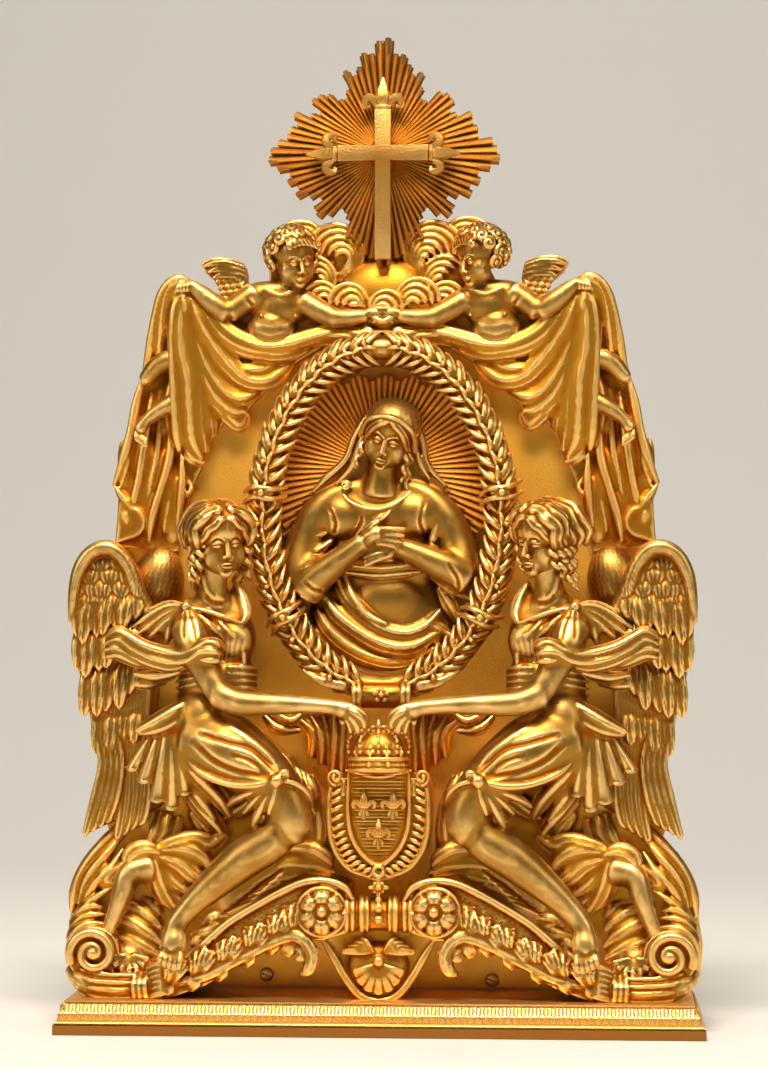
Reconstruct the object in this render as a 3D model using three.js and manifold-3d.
// A gilt metal devotional relief that stands on its own plinth.
// Millimetres, +Z up, the front faces -Y, and the origin is the bottom centre of the plinth.
import * as THREE from "three";
import { mergeVertices } from "three/addons/utils/BufferGeometryUtils.js";
import Module from "manifold-3d";

const wasm = await Module();
wasm.setup();

// Driving dimensions
const PLINTH_WIDTH = 130.8;
const PLINTH_DEPTH = 46;
const PLINTH_HEIGHT = 6.8;
const SLAB_HEIGHT = 2.2;
const FILLET_HEIGHT = 0.6;
const MOULDING_INSET = 2.5;
const GAP = 0.3;
const FOOT = PLINTH_HEIGHT + GAP;
const PLINTH_FRONT = -PLINTH_DEPTH / 2;
const PANEL_FRONT = 2;
const PANEL_BACK = 10;
const ROOT = PANEL_FRONT + 1;
const MEDALLION = { height: 104.4, across: 23, up: 33, floor: 4.5 };
const GLORY = { height: 179.7, reach: 24.4, rays: 36, front: -3, thick: 3, notch: 2.6, groove: 1.3 };
const WREATH_FRONT = -9;
const CROSS = {
  foot: 157.6, top: 188.6, bar: 3.3, arm: 9.3, armHeight: 179.5, back: -3.6, thick: 2.6,
};
const SCROLL_FRONT = -18;
const SHIELD_FRONT = -15;
const PENDANT_FRONT = -19.4;
const SCREW = { radius: 1.4, head: 1.2, slot: 0.4 };

// The eye that the layout is read from: a little right of the middle, at the height of the hips.
const EYE = { x: 42, z: 88, distance: 620 };

// Sizes of the facets
const BALL_SIDES = 6;
const LIMB_SIDES = 5;
const FOLD_SIDES = 3;

// A place read as it is seen, u across and w up on the plane of the plinth's front,
// carried back to its own depth y along the line of sight.
function seen(u, w, y) {
  const far = 1 + (y - PLINTH_FRONT) / EYE.distance;
  return new THREE.Vector3(EYE.x + (u - EYE.x) * far, y, EYE.z + (w - EYE.z) * far);
}

// A closed geometry as a solid with its faces outwards, on its own side or mirrored to the right.
function solid(geometry, side = 1) {
  const bare = geometry.index ? geometry.toNonIndexed() : geometry.clone();
  bare.deleteAttribute("normal");
  bare.deleteAttribute("uv");
  bare.scale(side, 1, 1);
  const merged = mergeVertices(bare, 1e-4);
  const asDrawn = merged.index.array;
  const turnedOver = asDrawn.map((_, i) => asDrawn[i % 3 === 0 ? i : i + (i % 3 === 1 ? 1 : -1)]);
  const body = (triangles) => new wasm.Manifold(new wasm.Mesh({
    numProp: 3,
    vertProperties: merged.attributes.position.array,
    triVerts: new Uint32Array(triangles),
  }));
  const first = body(asDrawn);
  return first.volume() > 0 ? first : body(turnedOver);
}

// Joined in pairs, so that no chain of joins grows long.
function joined(solids) {
  let left = solids;
  while (left.length > 1) {
    const pairs = [];
    for (let i = 0; i < left.length; i += 2) {
      pairs.push(i + 1 < left.length ? left[i].add(left[i + 1]) : left[i]);
    }
    left = pairs;
  }
  return left[0];
}

function bothSides(geometries) {
  return geometries.flatMap((geometry) => [solid(geometry), solid(geometry, -1)]);
}

function named(name, body, material) {
  const mesh = body.getMesh();
  const geometry = new THREE.BufferGeometry();
  geometry.setAttribute("position", new THREE.BufferAttribute(mesh.vertProperties, 3));
  geometry.setIndex(new THREE.BufferAttribute(mesh.triVerts, 1));
  geometry.computeVertexNormals();
  const part = new THREE.Mesh(geometry, material);
  part.name = name;
  return part;
}

function gilding(name, color, roughness) {
  return new THREE.MeshStandardMaterial({ name, color, roughness, metalness: 1 });
}

// Shapes of the carving
function ball([u, w, y], [rx, ry, rz], lean = 0) {
  const geometry = new THREE.SphereGeometry(1, BALL_SIDES, BALL_SIDES - 2);
  geometry.scale(rx, ry, rz);
  geometry.rotateY(lean);
  const { x, z } = seen(u, w, y);
  return geometry.translate(x, y, z);
}

// A round limb through [u, w, y, radius] stations: a turned profile bent along a curve.
function limb(stations, sides = LIMB_SIDES) {
  const path = new THREE.CatmullRomCurve3(stations.map(([u, w, y]) => seen(u, w, y)));
  const length = path.getLength();
  const last = stations.length - 1;
  const profile = stations.map(([, , , radius], i) => new THREE.Vector2(radius, i / last));
  const startCap = (0.7 * stations[0][3]) / length;
  const endCap = (0.7 * stations[last][3]) / length;
  profile.unshift(new THREE.Vector2(0, -startCap));
  profile.push(new THREE.Vector2(0, 1 + endCap));
  const geometry = new THREE.LatheGeometry(profile, sides);
  const place = geometry.attributes.position;
  const depthwards = new THREE.Vector3(0, 1, 0);
  for (let i = 0; i < place.count; i += 1) {
    const along = place.getY(i);
    const t = Math.min(Math.max(along, 0), 1);
    const tangent = path.getTangent(t);
    const across = new THREE.Vector3().crossVectors(tangent, depthwards).normalize();
    const outward = new THREE.Vector3().crossVectors(across, tangent);
    const spot = path.getPoint(t).addScaledVector(tangent, (along - t) * length);
    spot.addScaledVector(across, place.getX(i)).addScaledVector(outward, -place.getZ(i));
    place.setXYZ(i, spot.x, spot.y, spot.z);
  }
  return geometry;
}

// A fold of drapery, a rib or a lock of hair, thinner at its two ends.
function fold(places, radius) {
  const last = places.length - 1;
  const stations = places.map((place, i) => {
    const end = i === 0 || i === last;
    return [...place, end ? 0.6 * radius : radius];
  });
  return limb(stations, FOLD_SIDES);
}

// A turned form facing the front: [radius, depth] stations, each ring drawn out by a rule that
// gives a point's reach across and up, and how far it stands back, from its step round and its ring.
function turned(stations, sides, { x, z }, rule) {
  const profile = stations.map(([radius, depth]) => new THREE.Vector2(radius, depth));
  const geometry = new THREE.LatheGeometry(profile, sides);
  const place = geometry.attributes.position;
  for (let i = 0; i < place.count; i += 1) {
    const step = Math.floor(i / stations.length) % sides;
    const angle = (step / sides) * 2 * Math.PI;
    const [across, up, back] = rule(step, i % stations.length, angle);
    place.setXYZ(i, x + across * Math.cos(angle), place.getY(i) + back, z + up * Math.sin(angle));
  }
  return geometry;
}

// A flat shape seen from the front, from its front depth back to another.
function plate(outline, front, back) {
  const corners = outline.map(([u, w]) => seen(u, w, front));
  const shape = new THREE.Shape(corners.map(({ x, z }) => new THREE.Vector2(x, z)));
  const geometry = new THREE.ExtrudeGeometry(shape, { depth: back - front, bevelEnabled: false });
  geometry.rotateX(Math.PI / 2);
  return geometry.translate(0, back, 0);
}

function disc([u, w], radius, front, back, sides = 12) {
  const geometry = new THREE.CylinderGeometry(radius, radius, back - front, sides);
  const { x, z } = seen(u, w, front);
  return geometry.translate(x, (front + back) / 2, z);
}

function block(width, depth, height, x, y, z) {
  return new THREE.BoxGeometry(width, depth, height).translate(x, y, z);
}

// Plinth: a slab, a sloped moulding and a narrow fillet, closed as stacked frusta.
function plinthBody() {
  const slope = PLINTH_HEIGHT - FILLET_HEIGHT - SLAB_HEIGHT;
  const moulding = new THREE.BoxGeometry(PLINTH_WIDTH, PLINTH_DEPTH, slope);
  const place = moulding.attributes.position;
  for (let i = 0; i < place.count; i += 1) {
    if (place.getZ(i) > 0) {
      place.setX(i, place.getX(i) - Math.sign(place.getX(i)) * MOULDING_INSET);
      place.setY(i, place.getY(i) - Math.sign(place.getY(i)) * MOULDING_INSET);
    }
  }
  moulding.translate(0, 0, SLAB_HEIGHT + slope / 2);
  const overhang = 0.3;
  const topWidth = PLINTH_WIDTH - 2 * (MOULDING_INSET - overhang);
  const topDepth = PLINTH_DEPTH - 2 * (MOULDING_INSET - overhang);
  const slab = block(PLINTH_WIDTH, PLINTH_DEPTH, SLAB_HEIGHT, 0, 0, SLAB_HEIGHT / 2);
  const fillet = block(topWidth, topDepth, FILLET_HEIGHT, 0, 0, PLINTH_HEIGHT - FILLET_HEIGHT / 2);
  return joined([solid(slab), solid(moulding), solid(fillet)]);
}

// Back panel, left half: the whole silhouette a little inside the carving that covers it.
function panel() {
  const outline = [
    [0, FOOT], [-57, FOOT], [-61, 16], [-61, 27], [-57, 37], [-59, 43], [-57, 56], [-61, 74],
    [-61, 89], [-56, 97], [-52, 104], [-49, 124], [-44, 147], [-37, 149], [-30, 143],
    [-24, 150], [-14, 163], [-6, 166], [0, 166],
  ];
  const shape = new THREE.Shape(outline.map(([x, z]) => new THREE.Vector2(x, z)));
  const depth = PANEL_BACK - PANEL_FRONT;
  const geometry = new THREE.ExtrudeGeometry(shape, { depth, bevelEnabled: false });
  geometry.rotateX(Math.PI / 2);
  return geometry.translate(0, PANEL_BACK, 0);
}

// Glory: ridged rays that reach out to a diamond, shorter between its points.
function glory() {
  const rule = (step, ring, angle) => {
    const ridge = step % 2 === 0;
    if (ring === 0 || ring === 3) return [0, 0, 0];
    const notch = GLORY.notch * Math.max(0, -Math.cos(angle * 12));
    const reach = GLORY.reach / (Math.abs(Math.cos(angle)) + Math.abs(Math.sin(angle))) - notch;
    const drawn = ridge ? reach : reach - GLORY.groove;
    return [drawn, drawn, ring === 1 && !ridge ? GLORY.groove : 0];
  };
  const { front } = GLORY;
  const back = front + GLORY.thick;
  const stations = [[0, front], [1, front], [1, back], [0, back]];
  return turned(stations, 2 * GLORY.rays, { x: 0, z: GLORY.height }, rule);
}

// Cross: two plain bars with a fleur-de-lis at each of its three free ends.
function crossBody() {
  const y = CROSS.back - CROSS.thick / 2;
  const tall = CROSS.top - CROSS.foot;
  const pieces = [
    block(CROSS.bar, CROSS.thick, tall, 0, y, (CROSS.top + CROSS.foot) / 2),
    block(2 * CROSS.arm, CROSS.thick, CROSS.bar, 0, y, CROSS.armHeight),
  ];
  const petals = [
    [-0.9, 0], [-2.3, 0.5], [-3.5, 1.6], [-3.2, 3], [-2.2, 2.9], [-1.8, 2], [-1.1, 2.6], [-1.3, 5],
    [0, 7.4], [1.3, 5], [1.1, 2.6], [1.8, 2], [2.2, 2.9], [3.2, 3], [3.5, 1.6], [2.3, 0.5], [0.9, 0],
  ];
  const flower = new THREE.Shape(petals.map(([x, z]) => new THREE.Vector2(x, z)));
  const sunk = 0.2;
  const depth = CROSS.thick - 0.8;
  const ends = [
    { x: 0, z: CROSS.top - sunk, turn: 0 },
    { x: -CROSS.arm + sunk, z: CROSS.armHeight, turn: -Math.PI / 2 },
    { x: CROSS.arm - sunk, z: CROSS.armHeight, turn: Math.PI / 2 },
  ];
  for (const { x, z, turn } of ends) {
    const end = new THREE.ExtrudeGeometry(flower, { depth, bevelEnabled: false });
    end.rotateX(Math.PI / 2).rotateY(turn);
    pieces.push(end.translate(x, CROSS.back, z));
  }
  return joined(pieces.map((piece) => solid(piece)));
}

// Globe and the banks of cloud, left half
function clouds() {
  return [
    ball([-15.5, 158.2, -1], [6, 4.5, 5.6]),
    ball([-7.5, 158, -1], [5.6, 4, 5]),
    ball([-13, 152, -2], [5.5, 4, 6]),
  ];
}

function globe() {
  return ball([1.7, 147, -3], [10.8, 6, 8.6]);
}

// Putto, left half: head with curls, body, the arm that lifts the curtain and the arm to the middle.
function putto() {
  const wing = [
    [-36, 155], [-33, 156.4], [-29, 156.4], [-26.5, 155], [-25.7, 152.5], [-23, 148],
    [-23, 143], [-29, 146.6], [-30.2, 149.6], [-31.2, 151], [-33.5, 152],
  ];
  return [
    ball([-17, 154.6, -12], [5.6, 5.8, 6.6]),
    ball([-17.6, 156.4, -10.5], [7, 6.6, 6]),
    ball([-19.5, 144, -9.5], [6.4, 5.6, 6.6], 0.3),
    limb([
      [-17.5, 149, -10.5, 2.8], [-24, 148.4, -9.5, 2.9], [-30, 144.8, -11, 2.2], [-37, 150, -10, 1.7],
    ]),
    limb([[-16.5, 146.4, -10.5, 2.5], [-7.5, 143.8, -13, 2.2], [3, 144.4, -14, 1.9]]),
    limb([[-42, 135.4, -5.4, 2.3], [-48, 132, -5, 1.8]]),
    limb([[-41, 128, -5.4, 2.2], [-48, 120.5, -6, 1.5]]),
    plate(wing, -8, 0.5),
  ];
}

// Curtain, left half: the hanging cloth, its tube folds and the swags below the putto.
function curtain() {
  const outline = [
    [-38, 151.4], [-41.5, 152], [-44, 149], [-46, 140], [-49, 128], [-50, 123], [-54, 110],
    [-52.2, 108], [-52.4, 99], [-34, 99], [-34, 114], [-24, 126], [-24, 139], [-30, 139], [-34, 144],
  ];
  const hanging = [
    [[-39.5, 150, -7], [-41.5, 140, -7], [-40, 116, -5]],
    [[-39, 149, -8], [-38.6, 134, -8], [-34.5, 114.5, -5]],
    [[-41.5, 151, -5], [-47, 133, -4.6], [-51.5, 114, -4.6]],
  ];
  const swags = [
    [[-37.5, 149, -8], [-31.5, 140.6, -8.6], [-24, 138, -9], [-9, 140.4, -10], [0, 136.6, -9]],
    [[-37, 145, -6], [-32, 135, -5], [-24, 132, -4.6]],
    [[-37, 142, -6], [-31, 128, -5], [-27, 123.5, -3]],
  ];
  return [
    plate(outline, -4, ROOT),
    ...hanging.map((places) => fold(places, 1.7)),
    ...swags.map((places) => fold(places, 1.4)),
  ];
}

// Wreath: a laurel band round the medallion, its two edges drawn out into leaves.
function wreath() {
  const leaves = 22;
  const [inner, crest, outer] = [-1, 1.2, 3.4];
  const widths = [inner, crest, outer, outer, inner, inner];
  const tips = [-1.5, 0, 1.5, 1.5, -1.5, -1.5];
  const rule = (step, ring) => {
    const leaf = step % 2 === 0;
    const width = widths[ring] + (leaf ? tips[ring] : 0);
    return [MEDALLION.across + width, MEDALLION.up + width, ring === 1 && leaf ? -0.8 : 0];
  };
  const edge = WREATH_FRONT + 3;
  const stations = [[1, edge], [2, WREATH_FRONT], [3, edge], [3, ROOT], [1, ROOT], [1, edge]];
  return turned(stations, 2 * leaves, { x: 0, z: MEDALLION.height }, rule);
}

// Medallion rays: ridges on the sunk ground, fanned from behind the shoulders.
function medallionRays() {
  const hub = { x: 0.4, z: MEDALLION.height + 5 };
  const rays = 30;
  const rule = (step, ring) => {
    if (ring === 0 || ring === 3) return [0, 0, 0];
    const long = step % 2 === 0;
    const reach = long ? 21.6 : 20.4;
    return [reach, reach + 2, ring === 1 && long ? -0.8 : 0];
  };
  const front = MEDALLION.floor - 0.6;
  const stations = [[0, front - 0.4], [1, front], [1, front + 3], [0, front + 3]];
  return turned(stations, 2 * rays, hub, rule);
}

// Half figure in the medallion: veiled head, crossed hands, and a cloak in crescent folds.
function halfFigure() {
  const crescents = [
    [[-8.5, 89, -4.6], [-4, 82.5, -5.4], [3, 80.2, -5.6], [10, 82.5, -5], [13, 86, -3.6]],
    [[-10.5, 84, -3.6], [-3, 78, -4.2], [5, 77, -4.2], [13, 82, -3]],
  ];
  return [
    ball([1.5, 119.6, -2], [7.6, 6, 8.6], -0.15),
    ball([2, 118.4, -5], [4.6, 5, 6], -0.15),
    limb([[1, 113, -3, 3], [0.8, 109, -3, 4]]),
    ball([0.8, 102, 0], [14.5, 7.6, 11]),
    ball([1, 85, 1], [16, 7, 14]),
    ball([2.6, 87.6, -5], [6, 4.5, 6]),
    limb([[-12.5, 104, -2, 4.8], [-14.5, 92.5, -4, 4.6], [-5, 97.5, -9, 2.6], [3.5, 99.6, -10, 2]]),
    limb([[13, 104, -2, 4.8], [16.5, 93.5, -4, 4.6], [7, 96.5, -8, 2.5], [1, 98, -9, 1.8]]),
    ...crescents.map((places) => fold(places, 1.1)),
  ];
}

// Kneeling angel, left half
function angelBody() {
  return [
    ball([-31.8, 98.4, -14.5], [5.4, 5.8, 7]),
    ball([-32.6, 101, -12], [7.6, 7, 6.6]),
    limb([[-38.6, 100, -11, 2.8], [-39.4, 91, -9, 2]]),
    limb([[-31.6, 92, -12.5, 3.1], [-32, 86, -11, 4]]),
    ball([-32, 79, -10.5], [8.4, 7.4, 9.6]),
    ball([-36.6, 81.4, -15], [4.4, 4, 4.2]),
    ball([-31, 70, -10], [7.2, 6.4, 6.4]),
    ball([-34, 62, -10.5], [8.6, 8, 8]),
    limb([
      [-37.2, 82, -14, 4.2], [-31.2, 69.4, -18.5, 3.2], [-10, 67.8, -20.2, 2], [-5.4, 65.2, -20, 1.6],
    ]),
    limb([[-34.5, 58.5, -12.5, 7.2], [-26, 54.6, -16, 6.2], [-17, 44, -18, 4.4]]),
    limb([
      [-16.4, 42.2, -18.2, 3.7], [-27, 34.4, -17.6, 3.8], [-39, 22.6, -18, 2.4], [-42, 15.4, -19.6, 2.3],
    ]),
    limb([
      [-46.6, 33, -10, 3.2], [-51, 31, -11, 2.6], [-53.4, 24.6, -12, 1.9], [-55, 20.4, -13, 1.6],
    ]),
  ];
}

function angelWing() {
  const outline = [
    [-46, 85], [-48, 89], [-50, 95], [-52, 98], [-55, 99], [-58, 98], [-60.5, 94], [-62.2, 84],
    [-61.8, 76], [-60, 70], [-58.5, 65], [-57, 60], [-56, 56], [-57.5, 50], [-59.5, 44],
    [-60.5, 39], [-58, 37.6], [-53, 42], [-49, 50], [-46, 60], [-45, 75],
  ];
  const front = -13;
  const quills = [0, 4, 8].map((inwards) => fold([
    [-60 + inwards, 86, front - 0.4],
    [-56.4 + 0.9 * inwards, 60, front - 0.4],
    [-57 + 0.6 * inwards, 42, front],
  ], 1.2));
  return [
    plate(outline, front, ROOT),
    fold([[-46.5, 86, -13], [-54.6, 97.4, -14], [-60.8, 86, -13.4]], 2),
    ...quills,
  ];
}

function angelDrapery() {
  const skirt = [
    [-36, 67], [-40, 63.4], [-44, 61.4], [-48.5, 60.6], [-48, 57], [-50, 53.5], [-45.6, 51.6],
    [-43.4, 49.4], [-40.4, 45], [-37.6, 49], [-36, 52], [-33, 58],
  ];
  const train = [
    [-56, 37.4], [-59, 33], [-61.3, 28], [-62, 24], [-63, 19], [-62.6, 13], [-44, 10],
    [-30, 16], [-10, 30], [-10, 46], [-30, 48], [-46, 41],
  ];
  const folds = [
    [[-54, 79, -13.6], [-50, 80.6, -14.4], [-42, 77.2, -16.4], [-35, 78, -17]],
    [[-54.6, 76, -13.6], [-45, 73.8, -14], [-37, 75, -15.4]],
    [[-39, 56, -14], [-32, 50.8, -16], [-21, 51, -19.6]],
    [[-34, 59.6, -17], [-24, 58.6, -18], [-18.6, 52.4, -19.6]],
    [[-20.4, 50.6, -19], [-29, 44, -13]],
    [[-36, 66, -14], [-42, 62, -13.6], [-48, 60, -12.6]],
    [[-40, 60, -12], [-44, 52, -12]],
    [[-50, 36, -9], [-40, 37.4, -9.4], [-30, 40.6, -8]],
    [[-44, 37, -10], [-41.4, 30.6, -9], [-40.4, 25.4, -8]],
    [[-40, 44, -8], [-52, 35, -9], [-59, 24, -9]],
    [[-24, 33, -8], [-34, 22.6, -9], [-54, 20, -9]],
  ];
  return [
    plate(skirt, -12, ROOT),
    plate(train, -8.5, ROOT),
    ball([-20.4, 51, -20], [1.8, 1.4, 1.6]),
    ...folds.map((places) => fold(places, 1.3)),
  ];
}

// Rosette: six petals drawn out of a turned boss.
function rosette([u, w]) {
  const petals = 6;
  const front = SCROLL_FRONT - 3.6;
  const back = SCROLL_FRONT + 10;
  const stations = [[0, front], [1.6, front + 1], [3.8, front], [5, front + 1.6], [5, back], [0, back]];
  const rule = (step, ring) => {
    const cleft = ring === 2 && step % 2 === 1;
    const radius = cleft ? 3.6 : stations[ring][0];
    return [radius, radius, cleft ? 1.2 : 0];
  };
  return turned(stations, 2 * petals, seen(u, w, front), rule);
}

// Scroll foot, left half: stippled scroll with an acanthus edge, rosette, volute and ribbed horn.
function scrollFoot() {
  const scroll = [
    [-44, 11], [-38, 16], [-30, 23], [-25, 26], [-20, 29], [-15, 31.4], [-9, 31.6], [0, 28], [0, 20],
    [-7, 20], [-11, 19.4], [-14.5, 19.6], [-17, 19.2], [-22, 17.2], [-28, 13.8], [-35, 10], [-43, 7.2],
  ];
  const front = SCROLL_FRONT;
  const proud = front - 0.6;
  const rib = [[-38, 16, front], [-23, 27, front], [-12, 31.4, front], [-6, 29.4, front]];
  const volute = [
    [-52.6, 15, front], [-55.6, 20.6, front], [-61, 17, front], [-57, 13.6, front], [-57, 17.6, front],
  ];
  const leafEdge = [
    [-43, 8.8, proud], [-35, 11.8, proud], [-26, 16, proud],
    [-17, 19.8, proud], [-12.6, 16.4, proud], [-14, 13, proud],
  ];
  const pieces = [
    plate(scroll, front, ROOT),
    fold(rib, 1),
    fold(leafEdge, 1.8),
    rosette([-11.2, 25]),
    disc([-57, 16.6], 5.4, front, ROOT),
    fold(volute, 1),
    limb([[-60, 12.4, -13, 3], [-54, 10.2, -14, 3.4], [-45, 10, -16, 2.6]]),
  ];
  for (let i = 0; i < 4; i += 1) {
    const u = -38 + 6 * i;
    const w = 11 + 2.7 * i;
    pieces.push(fold([[u, w, proud], [u + 0.4, w + 3.4, proud - 0.2], [u + 1, w + 6, proud + 1]], 1.5));
  }
  return pieces;
}

// Middle of the foot: crown, coat-of-arms shield, roller with rings, and shell pendant.
function middleFoot() {
  const pendant = [
    [-10, 20.5], [-9.4, 16.4], [-6, 11.2], [-3, 8.2], [0.5, FOOT + 0.2],
    [4, 8.2], [7, 11.2], [10.4, 16.4], [11, 20.5],
  ];
  const rim = [
    [-9.2, 17, PENDANT_FRONT], [-5.6, 12, PENDANT_FRONT], [0.5, 8.8, PENDANT_FRONT],
    [6.6, 12, PENDANT_FRONT], [10, 17, PENDANT_FRONT],
  ];
  const shield = [
    [-10, 53], [-10.6, 46], [-9.4, 37.6], [-6.4, 33], [0.1, 30.4],
    [6.6, 33], [9.6, 37.6], [10.8, 46], [10.2, 53],
  ];
  const border = [
    [-8.6, 50, SHIELD_FRONT], [-8.4, 41, SHIELD_FRONT], [0.1, 33, SHIELD_FRONT],
    [8.6, 41, SHIELD_FRONT], [8.8, 50, SHIELD_FRONT],
  ];
  const pieces = [
    ball([0.1, 57.6, -17], [6.4, 4.4, 4.4]),
    ball([0.1, 54.2, -17], [5.4, 4, 1.8]),
    disc([0.1, 57], 5, SHIELD_FRONT, ROOT, 8),
    ball([0.1, 62.4, -17.6], [1, 1, 1.6]),
    plate(shield, SHIELD_FRONT, ROOT),
    ball([0.3, 44, -14], [6, 4.6, 9]),
    limb([[-8.4, 52, -15.6, 1.7], [-4.6, 52.4, -16, 1.4]]),
    limb([[8.6, 52, -15.6, 1.7], [4.8, 52.4, -16, 1.4]]),
    limb([[-7, 24.6, -15, 3.6], [7, 24.6, -15, 3.6]]),
    ball([0.2, 25, -19], [1.4, 1.4, 3.6]),
    plate(pendant, PENDANT_FRONT, ROOT),
    fold(rim, 1.3),
    fold(border, 1.2),
  ];
  const lobeSpread = 0.75;
  const lobeReach = 3.4;
  for (let i = -1; i <= 1; i += 1) {
    const angle = i * lobeSpread;
    const centre = [0.5 + lobeReach * Math.sin(angle), 14.4 - lobeReach * Math.cos(angle), PENDANT_FRONT];
    pieces.push(ball(centre, [1, 0.9, 2], -angle));
  }
  return pieces;
}

// The relief is one casting: everything joined, the medallion sunk, the foot and back cut level.
function reliefBody() {
  const halves = [
    panel(), ...clouds(), ...putto(), ...curtain(), ...angelBody(), ...angelWing(),
    ...angelDrapery(), ...scrollFoot(),
  ];
  const middle = [globe(), glory(), ...middleFoot()];
  const ground = joined([...bothSides(halves), ...middle.map((piece) => solid(piece))]);
  const beyond = 40;
  const sink = new THREE.CylinderGeometry(1, 1, MEDALLION.floor + beyond, 28);
  sink.scale(MEDALLION.across, 1, MEDALLION.up);
  sink.translate(0, (MEDALLION.floor - beyond) / 2, MEDALLION.height);
  const ties = [
    ball([0.4, 68.4, -11], [6, 4, 2.6]),
    ball([26.2, 111, -8], [2.6, 3, 2.6]),
    ball([-25.6, 111, -8], [2.6, 3, 2.6]),
  ];
  const inlaid = [wreath(), medallionRays(), ...halfFigure(), ...ties].map((piece) => solid(piece));
  const whole = joined([ground.subtract(solid(sink)), ...inlaid]);
  const room = CROSS.top - CROSS.foot + beyond;
  const behind = block(200, beyond, 300, 0, PANEL_BACK + beyond / 2, 100);
  const below = block(200, 100, beyond, 0, 0, FOOT - beyond / 2);
  const crossBed = block(
    CROSS.bar + 2 * GAP, beyond, room,
    0, CROSS.back + GAP - beyond / 2, CROSS.foot - GAP + room / 2,
  );
  return whole.subtract(joined([behind, below, crossBed].map((piece) => solid(piece))));
}

// Screw heads seen on the wall under the scrolls
function screwBody(x, z) {
  const { radius, head, slot } = SCREW;
  const front = PANEL_FRONT - GAP - head;
  const round = new THREE.CylinderGeometry(radius, radius, head, 12).translate(x, front + head / 2, z);
  const cut = block(3 * radius, slot, slot, x, front, z);
  return solid(round).subtract(solid(cut));
}

const relief = new THREE.Group();
relief.add(
  named("plinth", plinthBody(), gilding("polished gilding", 0xc98a2c, 0.22)),
  named("relief", reliefBody(), gilding("matte gilding", 0xc88a32, 0.42)),
  named("cross", crossBody(), gilding("brushed gilding", 0xb9762a, 0.35)),
  named("screw_left", screwBody(-24.6, 9.6), gilding("screw metal", 0x8a4a1c, 0.4)),
  named("screw_right", screwBody(22.2, 8.8), gilding("screw metal", 0x8a4a1c, 0.4)),
);

export default relief;
